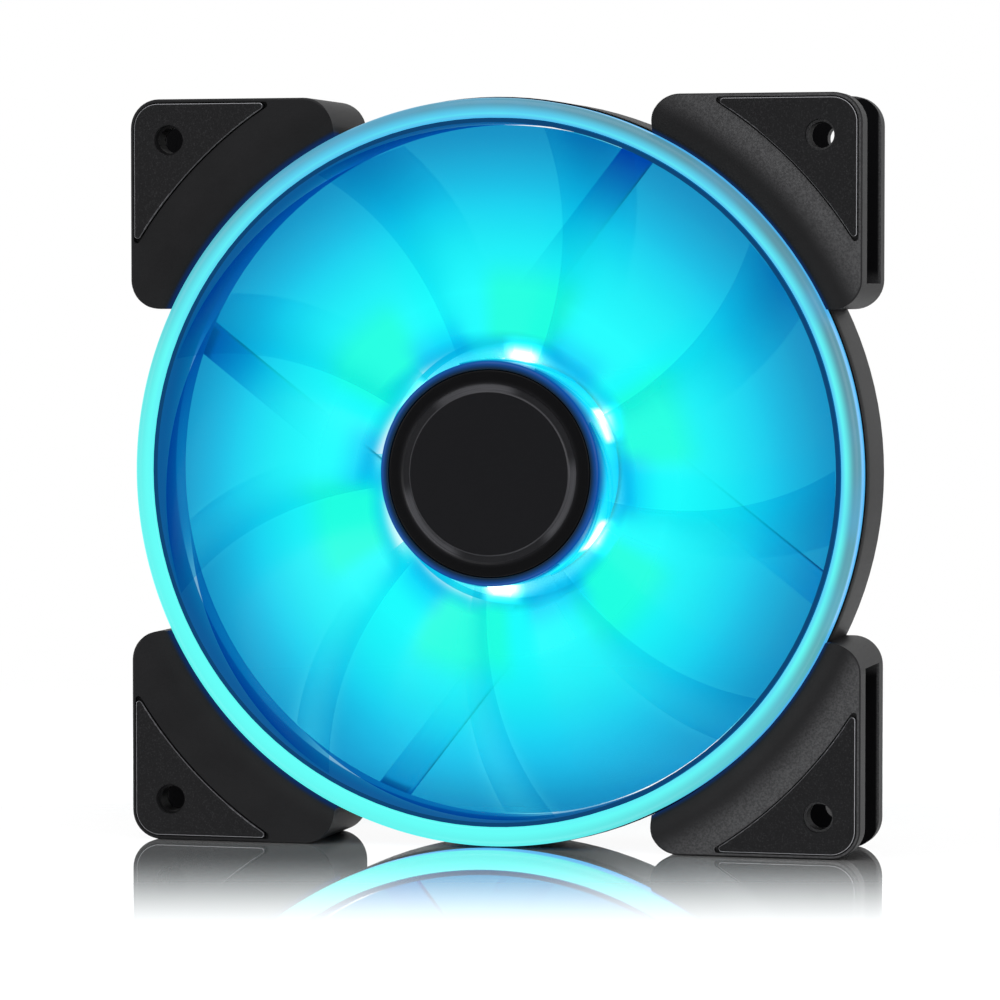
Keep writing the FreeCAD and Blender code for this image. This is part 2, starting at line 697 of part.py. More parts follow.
# ---------------------------------------------------------------- files
def nodes():
    """Every sub-part, by name."""
    parts = {
        "frame": frame(),
        "halo_ring": halo_ring(),
        "impeller": impeller(),
        "hub_cap": hub_cap(),
        "rotor_yoke": rotor_yoke(),
        "ring_magnet": ring_magnet(),
        "shaft_boss": shaft_boss(),
        "shaft": shaft(),
        "retaining_clip": retaining_clip(),
        "bearing_tube": bearing_tube(),
        "bearing_sleeve": tube(sleeve_r, sleeve_bore_r, sleeve_front, sleeve_rear),
        "oil_seal": oil_seal(),
        "thrust_pad": disc(sleeve_r, thrust_front, plug_front),
        "bearing_plug": bearing_plug(),
        "stator_core": stator_core(),
        "front_insulator": insulator(rear=False),
        "rear_insulator": insulator(rear=True),
        "coil_windings": coil_windings(),
        "terminal_pins": terminal_pins(),
        "circuit_board": circuit_board(),
        "led_lamps": leds(),
        "driver_chip": on_board(CHIP_SIZE, CHIP_R, CHIP_ANGLE),
        "hall_sensor": on_board(HALL_SIZE, (magnet_r + magnet_bore_r) / 2, HALL_ANGLE),
        "board_components": board_components(),
        "rear_label": disc(LABEL_R, label_front + SEAT, label_front + SEAT + LABEL_THICK),
    }
    front_pad = corner_pad(rear=False)
    rear_pad = corner_pad(rear=True)
    for name, angle in FRONT_PADS.items():
        parts[name] = spun(front_pad, angle)
        parts[name.replace("front", "rear")] = spun(rear_pad, angle)
    return parts


os.makedirs("parts", exist_ok=True)
for name, shape in nodes().items():
    shape.exportStep("parts/" + name + ".step")
    print(name, len(shape.Solids), "solids,", round(shape.Volume / 1000, 3), "cm3", shape.isValid())
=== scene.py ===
"""Looks of a lit case fan: a sidebar add-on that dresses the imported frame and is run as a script.

Every length in this file is in metres unless its name ends in _mm. The fan's axis is Y, its intake
faces -Y, and angles run from +X towards +Z, anticlockwise seen from the intake side.
"""
import math

import bmesh
import bpy
import numpy as np
from bpy.props import FloatProperty, FloatVectorProperty, IntProperty, PointerProperty
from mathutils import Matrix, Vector


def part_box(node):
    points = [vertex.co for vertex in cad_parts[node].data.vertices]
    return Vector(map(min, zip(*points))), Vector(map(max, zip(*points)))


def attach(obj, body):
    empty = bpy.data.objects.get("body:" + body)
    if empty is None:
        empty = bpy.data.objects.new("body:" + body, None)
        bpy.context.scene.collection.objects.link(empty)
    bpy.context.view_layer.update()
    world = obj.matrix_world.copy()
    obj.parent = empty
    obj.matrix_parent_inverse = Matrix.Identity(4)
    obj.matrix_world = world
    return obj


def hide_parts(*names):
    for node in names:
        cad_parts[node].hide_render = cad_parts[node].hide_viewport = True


bl_info = {
    "name": "Lit Case Fan",
    "version": (1, 0, 0),
    "blender": (4, 5, 0),
    "location": "View3D > Sidebar > Case Fan",
    "description": "Dresses a case fan's frame with its halo ring, impeller, lamps and finishes",
    "category": "Object",
}

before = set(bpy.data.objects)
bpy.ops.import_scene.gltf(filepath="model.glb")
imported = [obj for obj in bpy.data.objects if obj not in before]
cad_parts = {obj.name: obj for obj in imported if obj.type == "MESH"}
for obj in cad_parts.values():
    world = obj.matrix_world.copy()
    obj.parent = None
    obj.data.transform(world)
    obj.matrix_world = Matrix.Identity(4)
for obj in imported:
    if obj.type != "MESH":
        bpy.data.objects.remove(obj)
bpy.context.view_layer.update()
MM = 0.001
RING_WALL = 3.6 * MM
RING_DEPTH = 5.0 * MM
REAR_WALL = 1.8 * MM


# ---------------------------------------------------------------- places read from the frame
def reach(node):
    """Largest distance of a CAD node's box from the fan's axis, seen along the axis."""
    low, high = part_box(node)
    return max(-low.x, high.x, -low.z, high.z)


RING_LOW, RING_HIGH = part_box("halo_ring")
RING_R = reach("halo_ring")
HUB_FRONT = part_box("impeller")[0].y
HUB_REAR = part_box("led_lamps")[0].y - 0.5 * MM
CAP_R = reach("hub_cap")
CAP_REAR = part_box("hub_cap")[1].y
TIP_R = reach("impeller")
FRAME_R = reach("frame")
FLOOR_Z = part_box("frame")[0].z
BOARD_R = reach("circuit_board")
REAR_BORE_R = FRAME_R - REAR_WALL
LAMPS = 6
LAMP_ANGLE = 25.0
HOT_SPOT_ANGLE = 18.0
CAMERA_TURN = 14.62


# ---------------------------------------------------------------- colours
def linear(hex_colour):
    """Turns an sRGB hex colour such as "#1a2b3c" into three linear values."""
    parts = [int(hex_colour[i:i + 2], 16) / 255 for i in (1, 3, 5)]
    return tuple(p / 12.92 if p <= 0.04045 else ((p + 0.055) / 1.055) ** 2.4 for p in parts)


def colour(name, hex_colour, description):
    """A colour setting with a default given as sRGB hex."""
    return FloatVectorProperty(name=name, description=description, subtype="COLOR", size=3,
                               min=0.0, max=1.0, default=linear(hex_colour))


def length(name, millimetres, description):
    """A length setting with a default given in millimetres."""
    return FloatProperty(name=name, description=description, subtype="DISTANCE", unit="LENGTH",
                         min=0.0, precision=5, default=millimetres * MM)


# ---------------------------------------------------------------- settings
class FanSizes(bpy.types.PropertyGroup):
    ring_wall: length("Ring wall", RING_WALL / MM, "Halo ring, from its bore to its outside")
    ring_round: length("Ring outer rounding", 1.7, "Rounding of the halo ring's outer front edge")
    ring_inner_round: length("Ring inner rounding", 0.5, "Rounding of the halo ring's inner front edge")
    hub_radius: length("Hub radius", 21.0, "Outside of the impeller's hub")
    hub_wall: length("Hub wall", 1.6, "Wall of the impeller's hub")
    hub_floor: length("Hub floor", 1.4, "Floor of the hub behind the cap")
    hub_round: length("Hub rounding", 0.9, "Rounding of the hub's front rim")
    blade_setback: length("Blade setback", 1.6, "Leading edge behind the hub's rim")
    blade_root_lower: length("Blade root lower", 0.9, "Leading edge lower at the hub by this much")
    blade_rear_rise: length("Blade rear rise", 0.8, "Trailing edge goes this far back towards the tip")
    blade_root_thick: length("Blade root thickness", 1.9, "Thickness of a blade at the hub")
    blade_tip_thick: length("Blade tip thickness", 1.3, "Thickness of a blade at its tip")
    blade_root_flare: length("Blade root flare", 1.1, "Extra thickness where a blade meets the hub")
    blade_reach: length("Blade reach", 0.25, "How far a soft blade tip reaches past the CAD blade's")
    blade_sweep: FloatProperty(name="Blade sweep", description="The tip leads the root by this angle",
                               subtype="ANGLE", default=math.radians(15))
    blade_span_root: FloatProperty(name="Blade span at root", description="Angle covered at the hub",
                                   subtype="ANGLE", default=math.radians(54))
    blade_span_tip: FloatProperty(name="Blade span at tip", description="Angle covered at the tip",
                                  subtype="ANGLE", default=math.radians(52))
    blade_edge_cover: FloatProperty(name="Blade edge cover", min=0.0, max=1.0, default=0.08,
                                    description="Share of the milky look that a blade's edges keep")
    blades: IntProperty(name="Blades", description="Number of blades", default=9, min=3, max=15)
    cap_groove_radius: length("Cap groove radius", 16.0, "Ring groove in the hub cap's face")
    cap_groove_width: length("Cap groove width", 1.8, "Width of that groove")
    cap_groove_depth: length("Cap groove depth", 0.4, "Depth of that groove")


class FanColours(bpy.types.PropertyGroup):
    moulding: colour("Moulding", "#101011", "Black glass-filled moulding of the frame")
    shade: colour("Shaded moulding", "#020203", "Moulding in the slots and behind the halo ring")
    # Painted sheen: the right corner blocks' moulding is paler where a lamp's sheen would fall.
    painted_sheen: colour("Painted sheen on moulding", "#3c3c3d", "Painted sheen of a lamp on the right corner blocks")
    rubber: colour("Pads", "#101011", "Rubber of the corner pads")
    # Painted highlight along the pads' edges, where they catch the lamps.
    painted_edge_highlight: colour("Painted edge highlights", "#77777a", "Pale edge of a pad")
    cap: colour("Hub cap", "#0d0d0f", "Black moulding of the hub cap")
    cap_edge: colour("Hub cap's edge", "#020203", "Deeper black of the hub cap's edge")
    # Painted highlight and lamp reflections in the hub cap's ring groove.
    cap_groove_highlight: colour("Hub cap's painted groove highlight", "#434346", "Ring groove in the hub cap's face")
    ring_bright: colour("Ring inside", "#63fff6", "Glow of the ring where it is brightest")
    ring_outer: colour("Ring outside", "#5a8f9c", "Glow at the ring's outer edge, at its top right")
    ring_side: colour("Ring side", "#4fb4f0", "Glow on the ring's outer side")
    ring_spill: colour("Ring's spill", "#286edc", "Light of the ring on the frame beside it")
    blade_inner: colour("Blades at the hub", "#1cfdfd", "Glow of the blades near the hub")
    blade_middle: colour("Blades in the middle", "#09e0ff", "Glow of the blades at mid span")
    blade_outer: colour("Blades at the tip", "#00289c", "Glow of the blades near their tips")
    blade_tint: colour("Blade tint", "#26bce1", "Colour of light that comes through a blade")
    blade_shade: colour("Blades between LEDs", "#0ac6fa", "Glow at the hub, between two LEDs")
    hot_spot: colour("Hot spot", "#20ffe0", "Glow where an LED shines straight on a blade")
    hub_rim_glow: colour("Hub's rim", "#000618", "Glow of the hub's front rim beside the cap")
    hub_front_glow: colour("Hub's front", "#00489c", "Glow of the hub's side near its rim")
    hub_rear_glow: colour("Hub's rear", "#12dbff", "Glow of the hub's side near the LEDs")
    duct_front: colour("Duct's front", "#005896", "Light of the LEDs on the duct's wall, at the front")
    duct_rear: colour("Duct's rear", "#0084bc", "Light of the LEDs on the duct's wall, at the rear")
    strut_glow: colour("Upper struts", "#006ecd", "Light of the LEDs on the upper struts")
    strut_near: colour("Lower struts, near", "#d8ffff", "Light on the lower struts, by the motor")
    strut_far: colour("Lower struts, far", "#b0e4fa", "Light on the lower struts, by the duct")
    lamp_glare: colour("Lamp glare", "#c8fff4", "Light of the LEDs on the board and rim beside them")


# ---------------------------------------------------------------- meshes
def grid_faces(rows, cols, close_rows, close_cols):
    """Quads of a grid of points, as an array of four corner numbers a face.

    The grid is numbered row by row. A closed direction joins its last line back to its first."""
    r = np.arange(rows if close_rows else rows - 1)
    c = np.arange(cols if close_cols else cols - 1)
    r, c = np.meshgrid(r, c, indexing="ij")
    r1 = (r + 1) % rows
    c1 = (c + 1) % cols
    return np.stack([r * cols + c, r * cols + c1, r1 * cols + c1, r1 * cols + c], axis=-1).reshape(-1, 4)


def surface_object(name, grids):
    """A new object from grids of points, each with its faces and one cover value a point.

    The grids become one mesh whose doubles are merged and whose faces are turned outwards. The
    cover values become a point attribute of that name."""
    points, faces, cover, start = [], [], [], 0
    for grid, quads, values in grids:
        flat = grid.reshape(-1, 3)
        points.append(flat)
        faces.append(quads + start)
        cover.append(np.broadcast_to(values, grid.shape[:-1]).reshape(-1))
        start += len(flat)
    mesh = bpy.data.meshes.new(name)
    mesh.from_pydata(np.concatenate(points).tolist(), [], np.concatenate(faces).tolist())
    attribute = mesh.attributes.new("cover", "FLOAT", "POINT")
    attribute.data.foreach_set("value", np.concatenate(cover).astype(np.float32))
    weld(mesh)
    mesh.shade_smooth()
    made = bpy.data.objects.new(name, mesh)
    bpy.context.scene.collection.objects.link(made)
    return made


def weld(mesh):
    """Merges points that meet, drops faces with no area and turns every face outwards."""
    work = bmesh.new()
    work.from_mesh(mesh)
    bmesh.ops.remove_doubles(work, verts=work.verts, dist=1e-7)
    bmesh.ops.dissolve_degenerate(work, edges=work.edges, dist=1e-8)
    bmesh.ops.recalc_face_normals(work, faces=work.faces)
    work.to_mesh(mesh)
    work.free()


def rounded_outline(corners, roundings, steps=8):
    """Points of a closed outline whose corners are arcs.

    Each corner gets an arc that touches both its sides: it starts and ends at the rounding divided
    by the tangent of half the corner's angle, away from the corner. A rounding of 0 keeps it sharp."""
    corners = np.asarray(corners, float)
    points = []
    for i, radius in enumerate(roundings):
        here = corners[i]
        to_last = corners[i - 1] - here
        to_next = corners[(i + 1) % len(corners)] - here
        to_last /= np.linalg.norm(to_last)
        to_next /= np.linalg.norm(to_next)
        if radius <= 0:
            points.append(here[None])
            continue
        half = math.acos(np.clip(to_last @ to_next, -1, 1)) / 2
        bisector = to_last + to_next
        centre = here + bisector / np.linalg.norm(bisector) * radius / math.sin(half)
        start = here + to_last * radius / math.tan(half) - centre
        end = here + to_next * radius / math.tan(half) - centre
        t = np.linspace(0, 1, steps + 1)[:, None]
        swing = math.pi - 2 * half
        arc = (np.sin((1 - t) * swing) * start + np.sin(t * swing) * end) / math.sin(swing)
        points.append(centre + arc)
    return np.concatenate(points)


def turned(profile, steps):
    """A closed outline of (radius, y) points, turned once about the fan's axis."""
    angle = np.linspace(0, 2 * np.pi, steps, endpoint=False)[:, None]
    r, y = profile[:, 0][None], profile[:, 1][None]
    points = np.stack([r * np.cos(angle), y + 0 * angle, r * np.sin(angle)], axis=-1)
    return points, grid_faces(steps, len(profile), True, True), 1.0


def sharpen(piece, degrees):
    """Shades edges sharper than this angle as hard edges."""
    piece.data.set_sharp_from_angle(angle=math.radians(degrees))


def ring_outline(size):
    """The diffuser ring's section: a square back, a rounded outside and a slightly domed face."""
    inner = RING_R - size.ring_wall
    front, rear = RING_LOW.y, RING_LOW.y + RING_DEPTH
    corners = [(inner, rear), (inner, front), (RING_R, front), (RING_R, rear)]
    return rounded_outline(corners, [0, size.ring_inner_round, size.ring_round, 0], 12)


def blade(size, along, around):
    """One closed blade on a grid: along runs from hub to tip, around once round its section.

    The blade is a cambered sheet wrapped about the axis. From leading to trailing edge it turns by
    its span and sinks from front to rear; the tip leads the root. Going round the section, the
    across value is a raised cosine, so both edges are round, and the two faces stand half the
    local thickness off the sheet, square to it. The thickness grows where the blade meets the hub
    and closes at the tip and at the root's end inside the hub's wall. Cover is the share of the
    full thickness, which falls off smoothly over the part of a blade that its neighbour overlaps."""
    u, w = np.meshgrid(along, around, indexing="ij")
    across = (1 - np.cos(w)) / 2
    root_r = size.hub_radius - size.hub_wall / 2
    tip_r = TIP_R + size.blade_reach
    radius = root_r + (tip_r - root_r) * u
    span = size.blade_span_root + (size.blade_span_tip - size.blade_span_root) * u
    lead = size.blade_sweep * u ** 1.6
    front = HUB_FRONT + size.blade_setback + size.blade_root_lower * (1 - u) ** 2
    rear = HUB_REAR - size.blade_rear_rise * (1 - 2 * u)
    camber = 0.35
    angle = lead + span * (0.5 - across)
    y = front + (rear - front) * (across - camber / np.pi * np.sin(np.pi * across))
    run = -span * radius
    rise = (rear - front) * (1 - camber * np.cos(np.pi * across))
    slope = np.hypot(run, rise)
    full = size.blade_root_thick + (size.blade_tip_thick - size.blade_root_thick) * u
    full = full + size.blade_root_flare * np.exp(-(radius - size.hub_radius).clip(0) / MM)
    closing = np.sqrt(np.clip((tip_r - radius) / (0.4 * MM), 0, 1)) * (u > 0)
    half = full / 2 * closing * np.sign(np.sin(w)) * np.abs(np.sin(w)) ** 0.45
    angle = angle + half * rise / slope / radius
    y = y - half * run / slope
    overlap = 1 - 2 * np.pi / size.blades / span
    edge = np.clip(np.minimum(across, 1 - across) / overlap, 0, 1)
    cover = size.blade_edge_cover + (1 - size.blade_edge_cover) * edge * edge * (3 - 2 * edge)
    points = np.stack([radius * np.cos(angle), y, radius * np.sin(angle)], axis=-1)
    return points, grid_faces(len(along), len(around), False, True), cover


def turn_points(points, angle):
    """Points turned about the fan's axis from +X towards +Z."""
    x, y, z = points[..., 0], points[..., 1], points[..., 2]
    c, s = math.cos(angle), math.sin(angle)
    return np.stack([c * x - s * z, y, s * x + c * z], axis=-1)


# ---------------------------------------------------------------- material helpers
def add(tree, kind, inputs=None, **settings):
    """Adds a node to a tree. Settings are its properties; inputs maps an input's name or number to a
    value or to another node's output socket."""
    node = tree.nodes.new(kind)
    for key, value in settings.items():
        setattr(node, key, value)
    for key, value in (inputs or {}).items():
        if isinstance(value, bpy.types.NodeSocket):
            tree.links.new(value, node.inputs[key])
        else:
            node.inputs[key].default_value = value
    return node


def new_material(name):
    """An empty node material and its tree."""
    material = bpy.data.materials.new(name)
    material.use_nodes = True
    material.node_tree.nodes.clear()
    return material, material.node_tree


def calc(tree, operation, a, b=0.0, c=0.0):
    """The result of one arithmetic step on up to three values or sockets."""
    return add(tree, "ShaderNodeMath", {0: a, 1: b, 2: c}, operation=operation).outputs[0]


def place(tree):
    """Object coordinates: the point itself, its x, y and z, and its distance from the fan's axis."""
    point = add(tree, "ShaderNodeTexCoord").outputs["Object"]
    axes = add(tree, "ShaderNodeSeparateXYZ", {0: point}).outputs
    flat = add(tree, "ShaderNodeCombineXYZ", {0: axes[0], 2: axes[2]}).outputs[0]
    radius = add(tree, "ShaderNodeVectorMath", {0: flat}, operation="LENGTH").outputs["Value"]
    return point, axes[0], axes[1], axes[2], radius


def fade(tree, value, start, end):
    """0 at start and 1 at end, smooth between them, for a value or socket."""
    node = add(tree, "ShaderNodeMapRange", {"Value": value, "From Min": start, "From Max": end,
                                            "To Min": 0.0, "To Max": 1.0},
               interpolation_type="SMOOTHSTEP")
    return node.outputs["Result"]


def mixed(tree, factor, first, second):
    """A colour mix through the colour sockets of a Mix node."""
    node = add(tree, "ShaderNodeMix", data_type="RGBA")
    sockets = {"factor": node.inputs[0], "first": node.inputs[6], "second": node.inputs[7]}
    for key, value in (("factor", factor), ("first", first), ("second", second)):
        if isinstance(value, bpy.types.NodeSocket):
            tree.links.new(value, sockets[key])
        else:
            sockets[key].default_value = value if key == "factor" else (*value[:3], 1)
    return node.outputs[2]


def noise(tree, point, size_mm, detail=2.0, roughness=0.5):
    """Noise whose lumps are about this many millimetres across."""
    inputs = {"Vector": point, "Scale": 1 / (size_mm * MM), "Detail": detail, "Roughness": roughness}
    return add(tree, "ShaderNodeTexNoise", inputs).outputs["Fac"]


def bump(tree, height, depth_mm, strength):
    """A bump of this depth from a height of 0 to 1."""
    inputs = {"Height": height, "Distance": depth_mm * MM, "Strength": strength}
    return add(tree, "ShaderNodeBump", inputs).outputs["Normal"]


def finish_surface(tree, shader):
    """Links a shader to the material's surface."""
    add(tree, "ShaderNodeOutputMaterial", {"Surface": shader})


def times(tree, first, *others):
    """The product of some values or sockets."""
    for other in others:
        first = calc(tree, "MULTIPLY", first, other)
    return first


def less(tree, value):
    """One minus a value or socket."""
    return calc(tree, "SUBTRACT", 1.0, value)


def falls(tree, value, start, end):
    """1 at start and 0 at end, smooth between them, for a value or socket."""
    return less(tree, fade(tree, value, start, end))


def lobes(tree, x, z, count, degrees):
    """Waves about the axis: 1 at some evenly spaced directions, the first at this angle, and 0
    halfway between them."""
    angle = calc(tree, "ARCTAN2", z, x)
    from_first = calc(tree, "SUBTRACT", angle, math.radians(degrees))
    turned_by = calc(tree, "MULTIPLY", from_first, float(count))
    return calc(tree, "MULTIPLY_ADD", calc(tree, "COSINE", turned_by), 0.5, 0.5)


def facing(tree):
    """How far a face looks to the front: 1 square to the axis, 0 along it, -1 to the rear."""
    normal = add(tree, "ShaderNodeNewGeometry").outputs["True Normal"]
    return calc(tree, "MULTIPLY", add(tree, "ShaderNodeSeparateXYZ", {0: normal}).outputs[1], -1.0)


# ---------------------------------------------------------------- materials
def slot_shade(tree, x, y, z):
    """1 on the faces in the corner blocks' slots, between the flanges, and 0 elsewhere."""
    across, up = calc(tree, "ABSOLUTE", x), calc(tree, "ABSOLUTE", z)
    nearer, farther = calc(tree, "MINIMUM", across, up), calc(tree, "MAXIMUM", across, up)
    return times(tree, fade(tree, y, -7.3 * MM, -7.1 * MM), falls(tree, y, 8.1 * MM, 8.3 * MM),
                 fade(tree, nearer, 34 * MM, 38 * MM),
                 falls(tree, farther, FRAME_R - 0.7 * MM, FRAME_R - 0.2 * MM))


def moulded_pbt(colours):
    """Glass-filled PBT from a spark-eroded mould: satin black with a fine pebble grain.

    Its glass fibres leave a faint unevenness in the gloss. A painted sheen of a lamp greys the right
    corner blocks, and painted shade blackens the slots, the duct and the duct's outside near the ring.
    The duct's wall, the rim of the motor base and the struts catch the LEDs' light, the lower
    struts most, and a thin line beside the halo ring catches the ring's."""
    material, tree = new_material("moulded PBT")
    point, x, y, z, radius = place(tree)
    front = facing(tree)
    grain = noise(tree, point, 0.34, 3.0, 0.62)
    cloud = fade(tree, noise(tree, point, 9.0, 2.0), 0.3, 0.7)
    base = mixed(tree, cloud, colours.moulding, [1.25 * c for c in colours.moulding])
    # Painted sheen of a lamp on the front faces of the right corner blocks, speckled by the grain.
    painted_sheen = times(tree, fade(tree, x, -5 * MM, 55 * MM), fade(tree, radius, 73.5 * MM, 79 * MM),
                    fade(tree, front, 0.75, 1.0))
    speckle = calc(tree, "MULTIPLY_ADD", fade(tree, grain, 0.35, 0.65), 0.5, 0.5)
    base = mixed(tree, times(tree, painted_sheen, speckle), base, colours.painted_sheen)

    # Where the LEDs and the ring light the moulding, or where it lies in shade.
    in_duct = times(tree, falls(tree, radius, REAR_BORE_R, REAR_BORE_R + 0.3 * MM),
                    fade(tree, radius, 60 * MM, 64 * MM))
    behind_ring = times(tree, falls(tree, y, -8 * MM, 4 * MM),
                        falls(tree, radius, 70.2 * MM, 71 * MM),
                        fade(tree, radius, 69.2 * MM, 69.6 * MM))
    motor_rim = times(tree, fade(tree, radius, 20 * MM, 22 * MM),
                      falls(tree, radius, BOARD_R + 1.2 * MM, BOARD_R + 2 * MM),
                      fade(tree, front, -0.3, 0.3))
    strut = times(tree, fade(tree, radius, BOARD_R + 1.5 * MM, BOARD_R + 3 * MM),
                  falls(tree, radius, 64 * MM, 66 * MM), fade(tree, front, -0.5, -0.1),
                  calc(tree, "GREATER_THAN", y, 0.0), falls(tree, y, 9.2 * MM, 11.4 * MM))
    beside_ring = times(tree, fade(tree, radius, RING_R + 0.1 * MM, RING_R + 0.25 * MM),
                        falls(tree, radius, RING_R + 0.4 * MM, RING_R + 1.3 * MM),
                        falls(tree, y, RING_HIGH.y - 3.6 * MM, RING_HIGH.y - 3 * MM))
    shade = calc(tree, "MAXIMUM", calc(tree, "MAXIMUM", slot_shade(tree, x, y, z), in_duct),
                 times(tree, behind_ring, 0.85))
    base = mixed(tree, shade, base, colours.shade)
    rough = calc(tree, "MULTIPLY_ADD", grain, 0.2, 0.38)

    # The colour of that light.
    glow = mixed(tree, fade(tree, y, -9 * MM, 10 * MM), colours.duct_front, colours.duct_rear)
    pale = mixed(tree, fade(tree, radius, 30 * MM, 62 * MM), colours.strut_near, colours.strut_far)
    upper = fade(tree, lobes(tree, x, z, 1, 97), 0.55, 0.8)
    glow = mixed(tree, strut, glow, mixed(tree, upper, pale, colours.strut_glow))
    glow = mixed(tree, beside_ring, glow, colours.ring_spill)
    at_lamps = fade(tree, lobes(tree, x, z, LAMPS, LAMP_ANGLE), 0.72, 0.97)
    on_rim = mixed(tree, at_lamps, colours.hub_rear_glow, colours.lamp_glare)
    glow = mixed(tree, motor_rim, glow, on_rim)

    # And its strength.
    front_edge = fade(tree, front, 0.5, 0.8)
    wall = times(tree, in_duct, calc(tree, "MULTIPLY_ADD", front_edge, -0.45, 1.0))
    lit = calc(tree, "MAXIMUM", calc(tree, "MAXIMUM", wall, strut), times(tree, beside_ring, 0.12))
    lit = calc(tree, "MULTIPLY_ADD", motor_rim, calc(tree, "MULTIPLY_ADD", at_lamps, 1.2, 0.8), lit)
    surface = add(tree, "ShaderNodeBsdfPrincipled", {
        "Base Color": base, "Roughness": calc(tree, "MAXIMUM", rough, shade), "IOR": 1.5,
        "Specular IOR Level": 0.07, "Emission Color": glow, "Emission Strength": lit,
        "Normal": bump(tree, grain, 0.05, 0.55)})
    finish_surface(tree, surface.outputs[0])
    return material


def pad_rubber(colours):
    """Moulded silicone rubber: near-black and dull, with a grain coarser than the frame's, faint
    pale specks in the grain, and a painted highlight along its edges, palest away from the axis."""
    material, tree = new_material("moulded silicone rubber")
    point = place(tree)[0]
    grain = noise(tree, point, 0.42, 4.0, 0.7)
    speck = fade(tree, noise(tree, point, 0.3, 3.0), 0.5, 0.75)
    flat = calc(tree, "ABSOLUTE", facing(tree))
    normal = add(tree, "ShaderNodeNewGeometry").outputs["True Normal"]
    outward = add(tree, "ShaderNodeVectorMath", {0: normal, 1: point},
                  operation="DOT_PRODUCT").outputs["Value"]
    # Painted highlight where the pads' rounded edges catch the lamps, weaker on edges facing the axis.
    edge = times(tree, fade(tree, flat, 0.25, 0.45), falls(tree, flat, 0.82, 0.97),
                 calc(tree, "MULTIPLY_ADD", fade(tree, outward, -10 * MM, 10 * MM), 0.7, 0.3))
    base = mixed(tree, times(tree, speck, 0.06), colours.rubber, linear("#6a6a6c"))
    base = mixed(tree, edge, base, colours.painted_edge_highlight)
    surface = add(tree, "ShaderNodeBsdfPrincipled", {
        "Base Color": base, "Roughness": 0.6, "IOR": 1.43, "Specular IOR Level": 0.08,
        "Normal": bump(tree, grain, 0.07, 0.7)})
    finish_surface(tree, surface.outputs[0])
    return material


def diffuser_polycarbonate(colours):
    """Frosted polycarbonate that carries the light round. It is bright all over its lower left,
    where more light enters it. Its upper right is bluer at the bore, bright next to that and greyer
    towards the outside, and its top is bluer all over."""
    material, tree = new_material("frosted polycarbonate")
    point, x, y, z, radius = place(tree)
    inner = RING_R - RING_WALL
    away = fade(tree, lobes(tree, x, z, 1, 48), 0.0, 0.9)
    bluer = times(tree, fade(tree, lobes(tree, x, z, 1, 85), 0.55, 1.0), 0.6)
    edge = falls(tree, radius, inner + 0.1 * MM, inner + 1.1 * MM)
    bluer = calc(tree, "MAXIMUM", times(tree, less(tree, edge), bluer), times(tree, edge, away, 0.8))
    tint = mixed(tree, bluer, colours.ring_bright, colours.ring_side)
    greyer = times(tree, fade(tree, radius, inner + 0.7 * MM, RING_R - 0.9 * MM),
                   calc(tree, "MULTIPLY_ADD", away, 0.9, 0.1))
    tint = mixed(tree, greyer, tint, colours.ring_outer)
    side = times(tree, fade(tree, y, RING_LOW.y + 1.0 * MM, RING_LOW.y + 2.0 * MM),
                 fade(tree, radius, RING_R - 0.35 * MM, RING_R - 0.1 * MM))
    tint = mixed(tree, side, tint, colours.ring_side)
    cloud = fade(tree, noise(tree, point, 18.0, 2.0), 0.3, 0.7)
    tint = mixed(tree, times(tree, cloud, away, 0.35), tint, colours.ring_side)
    frost = noise(tree, point, 0.3, 3.0)
    surface = add(tree, "ShaderNodeBsdfPrincipled", {
        "Base Color": (*linear("#06222c"), 1), "Roughness": 0.32, "IOR": 1.585, "Specular IOR Level": 0.1,
        "Emission Color": tint, "Emission Strength": 0.96, "Normal": bump(tree, frost, 0.02, 0.4)})
    finish_surface(tree, surface.outputs[0])
    return material


